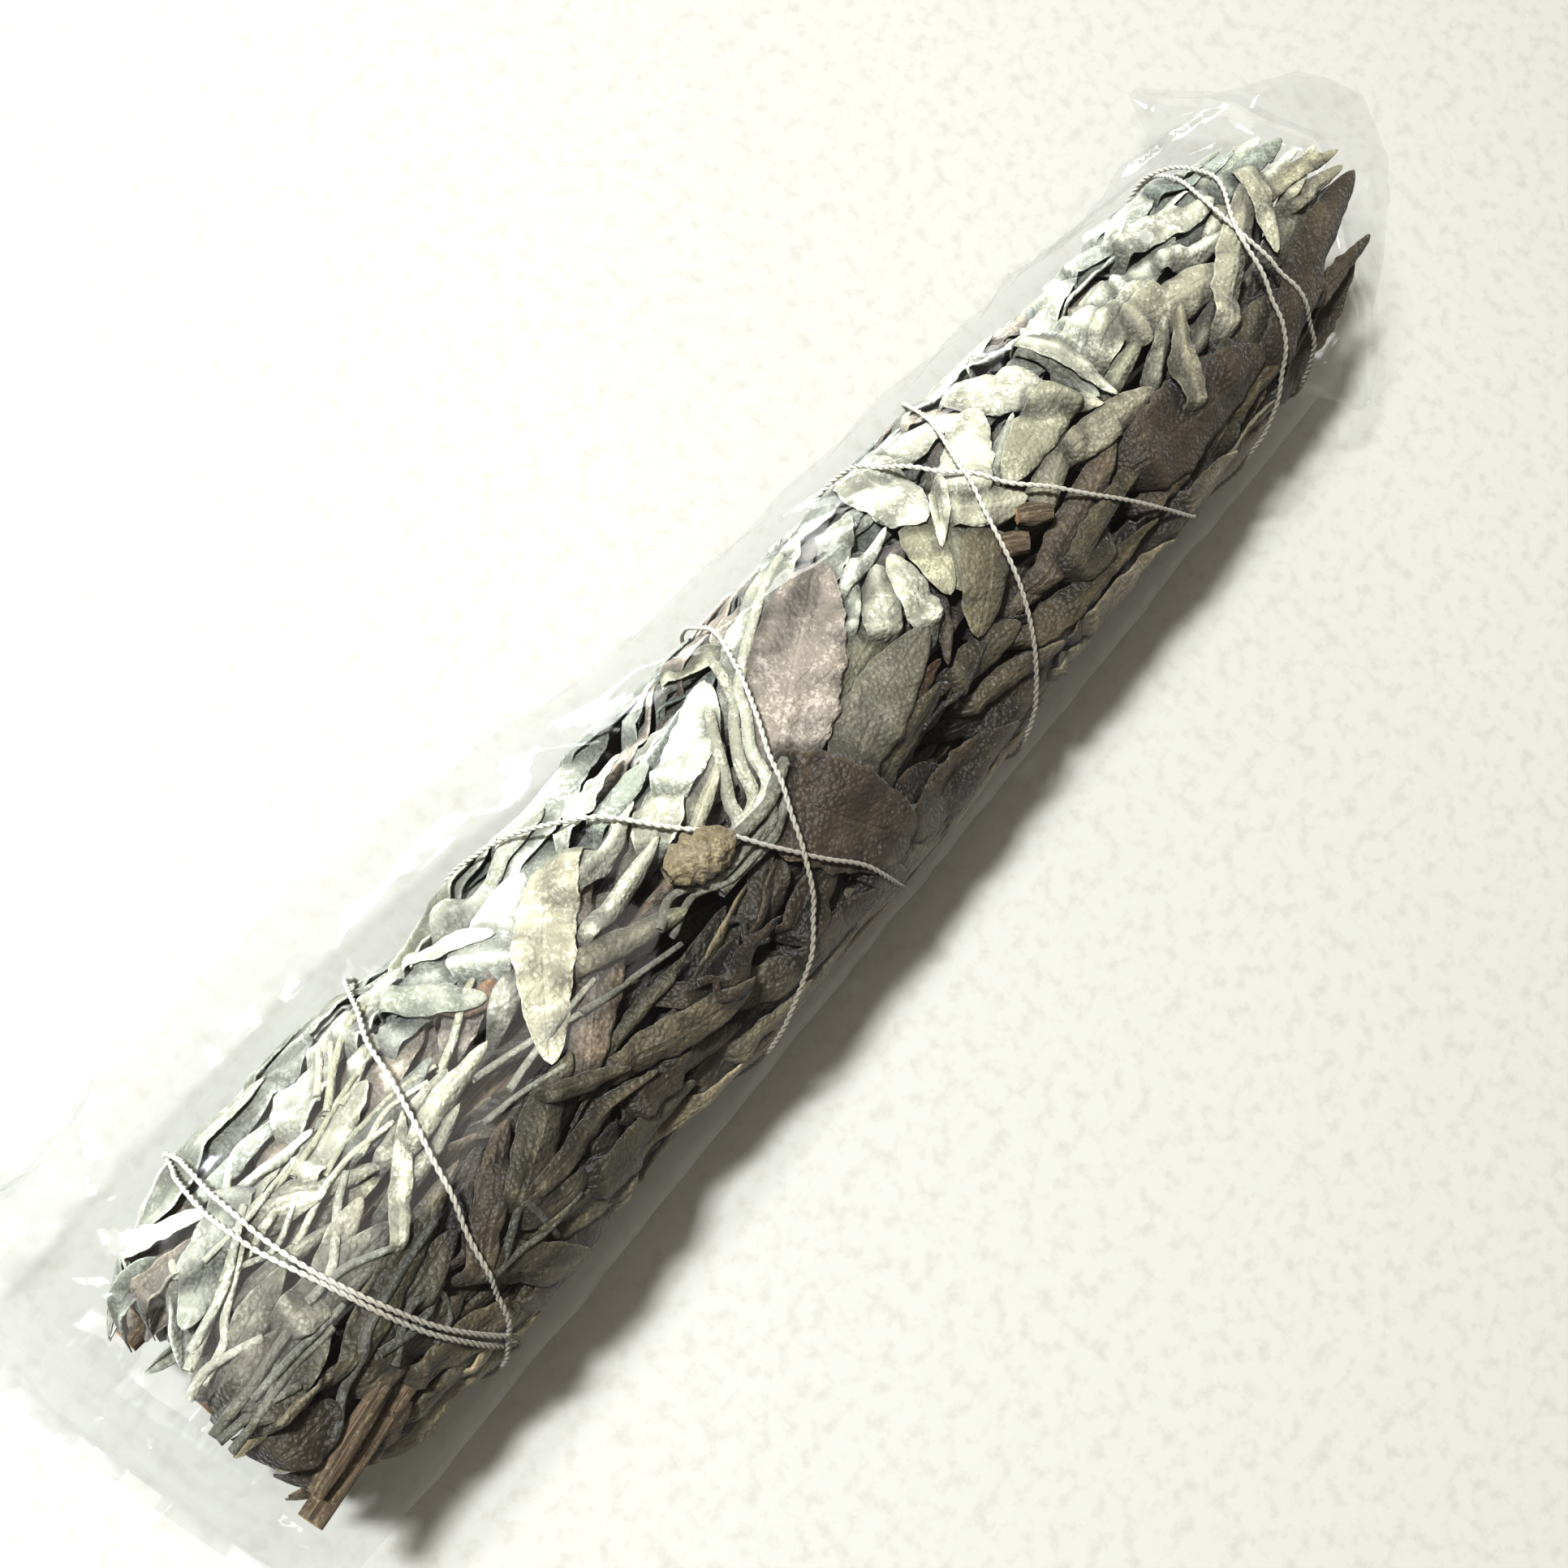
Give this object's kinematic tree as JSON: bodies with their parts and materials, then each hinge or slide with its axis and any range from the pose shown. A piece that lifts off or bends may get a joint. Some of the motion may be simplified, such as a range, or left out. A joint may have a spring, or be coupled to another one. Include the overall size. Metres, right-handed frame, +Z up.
{
  "type": "dried sage bunch in a clear sleeve",
  "caption": "Long bunch of dried white sage, bound criss-cross with cotton string, in a clear film sleeve, lying on its side.",
  "frame": {"origin": "middle of the sleeve's bounding box, at its underside, on the surface that the bunch lies on", "axes": "+X along the bunch from the cut stems to the leaf tips, +Z up, and +Y to the side where the sleeve is loose"},
  "size_m": [0.2436, 0.0607, 0.0458],
  "materials": {
    "leaf": "velvety, silvery grey green",
    "wood": "dry, brown, cut across",
    "string": "twisted cotton, off-white",
    "film": "clear glossy film"
  },
  "bodies": {
    "root": {"leafy_stem_1": "leaf", "leafy_stem_2": "leaf", "leafy_stem_3": "leaf", "leafy_stem_4": "leaf", "leafy_stem_5": "leaf", "leafy_stem_6": "leaf", "woody_stem_1": "wood", "woody_stem_2": "wood", "woody_stem_3": "wood", "woody_stem_4": "wood", "woody_stem_5": "wood", "woody_stem_6": "wood", "cotton_string": "string", "film_sleeve": "film"}
  },
  "joints": []
}
